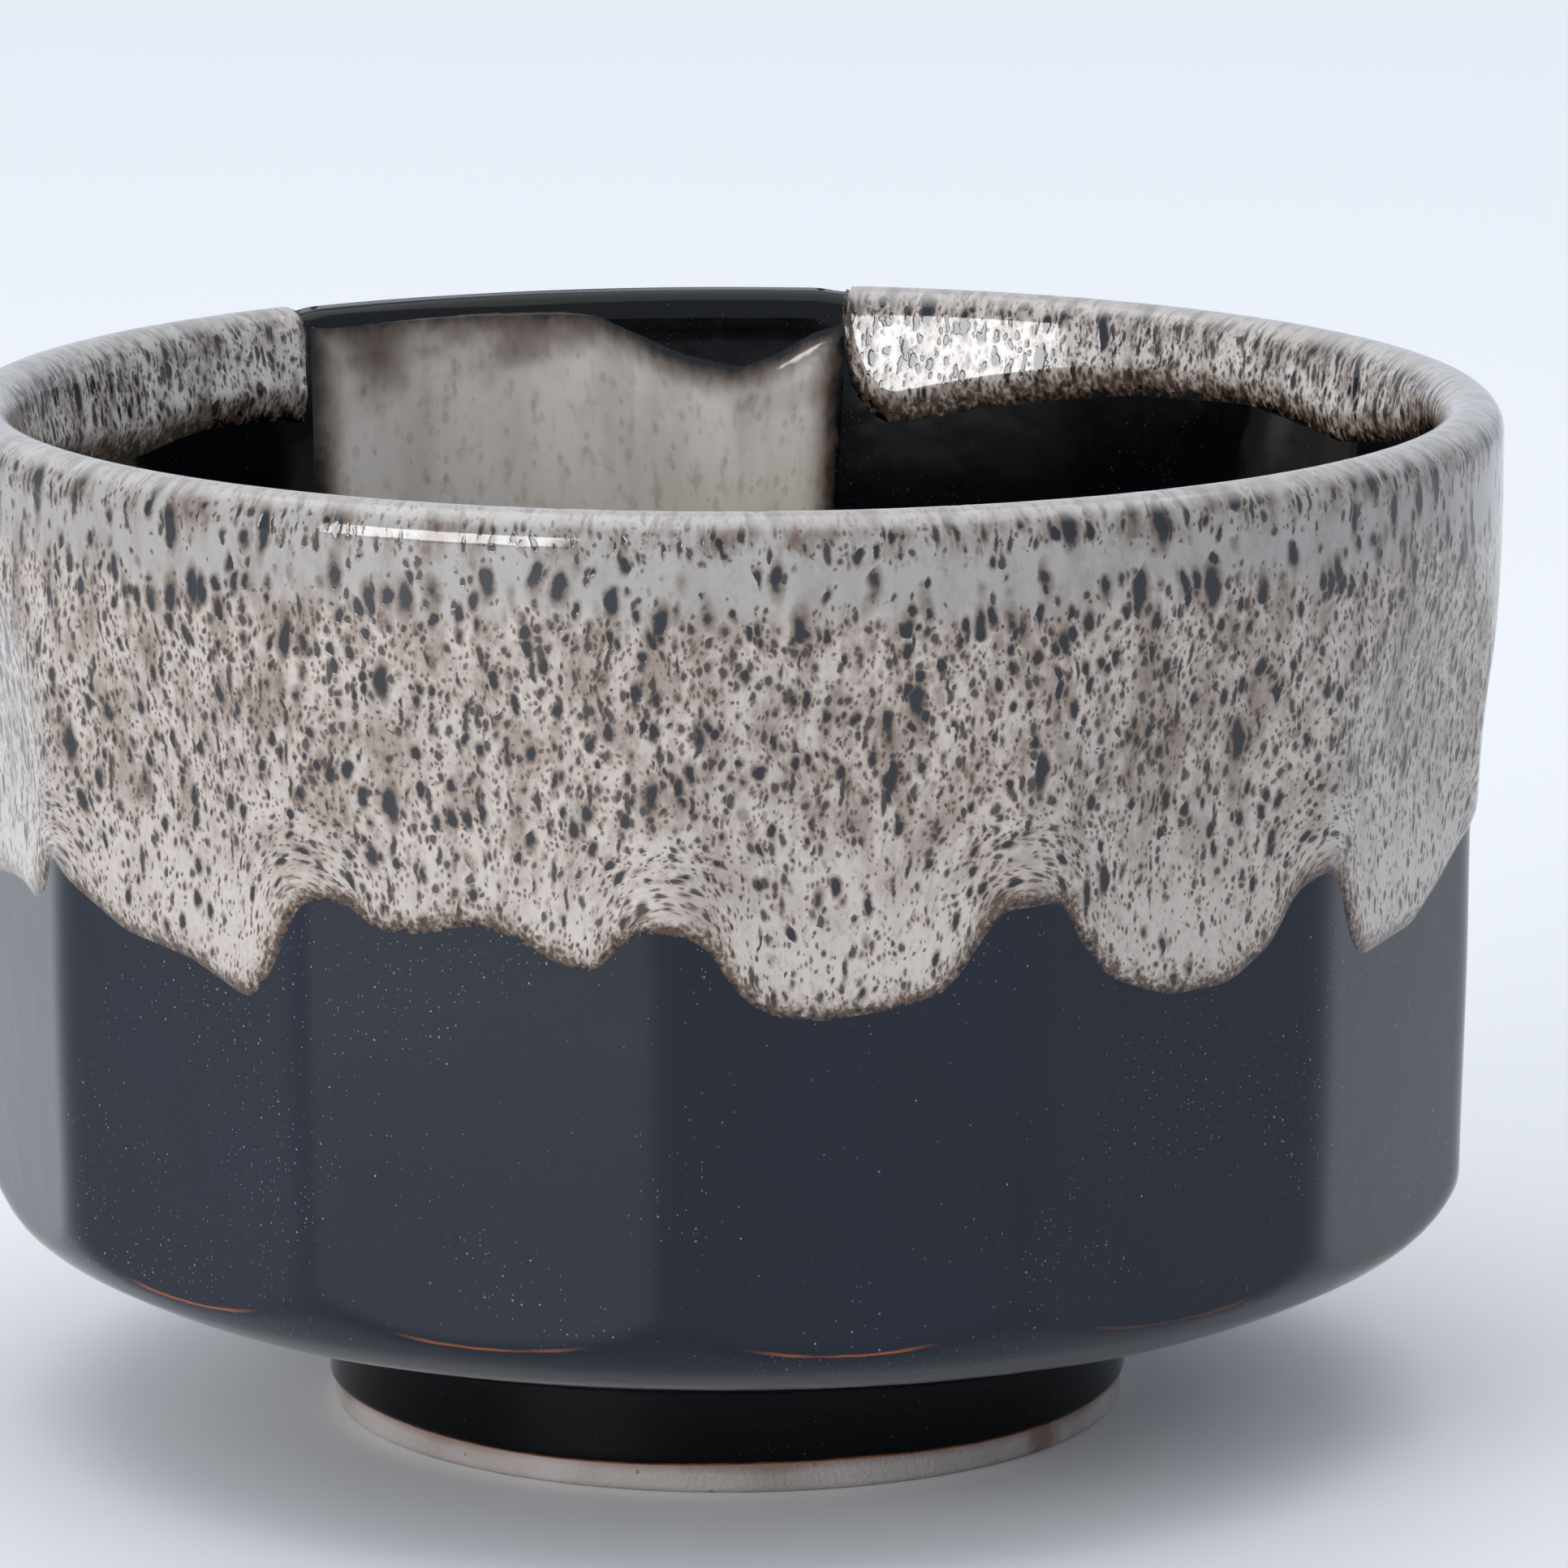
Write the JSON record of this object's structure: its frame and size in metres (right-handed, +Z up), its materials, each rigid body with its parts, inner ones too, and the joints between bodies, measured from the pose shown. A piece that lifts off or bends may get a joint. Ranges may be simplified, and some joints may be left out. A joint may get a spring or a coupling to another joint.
{
  "type": "matcha bowl",
  "caption": "Hand-faceted stoneware matcha bowl on a turned foot ring, dark glazed inside and out, with a speckled cream glaze hanging in lobes from the rim.",
  "frame": {"origin": "middle of the foot ring, on the plane that the bowl stands on", "axes": "+Z up along the bowl's axis; -Y is the front; +X to the right seen from the front"},
  "size_m": [0.12, 0.12, 0.0798],
  "materials": {
    "stoneware_clay": "bare fired stoneware, fine sandy grain, light greyish beige",
    "dark_glaze": "glossy slate-black glaze with tiny pale flecks",
    "cream_glaze": "glossy warm cream glaze with dark iron speckles and a brown lower edge"
  },
  "bodies": {
    "root": {"stoneware_body": "stoneware_clay", "foot_ring": "stoneware_clay", "outer_dark_glaze": "dark_glaze", "inner_dark_glaze": "dark_glaze", "foot_dark_glaze": "dark_glaze", "foot_well_glaze": "dark_glaze", "rim_cream_glaze": "cream_glaze", "inner_cream_pour": "cream_glaze"}
  },
  "joints": []
}
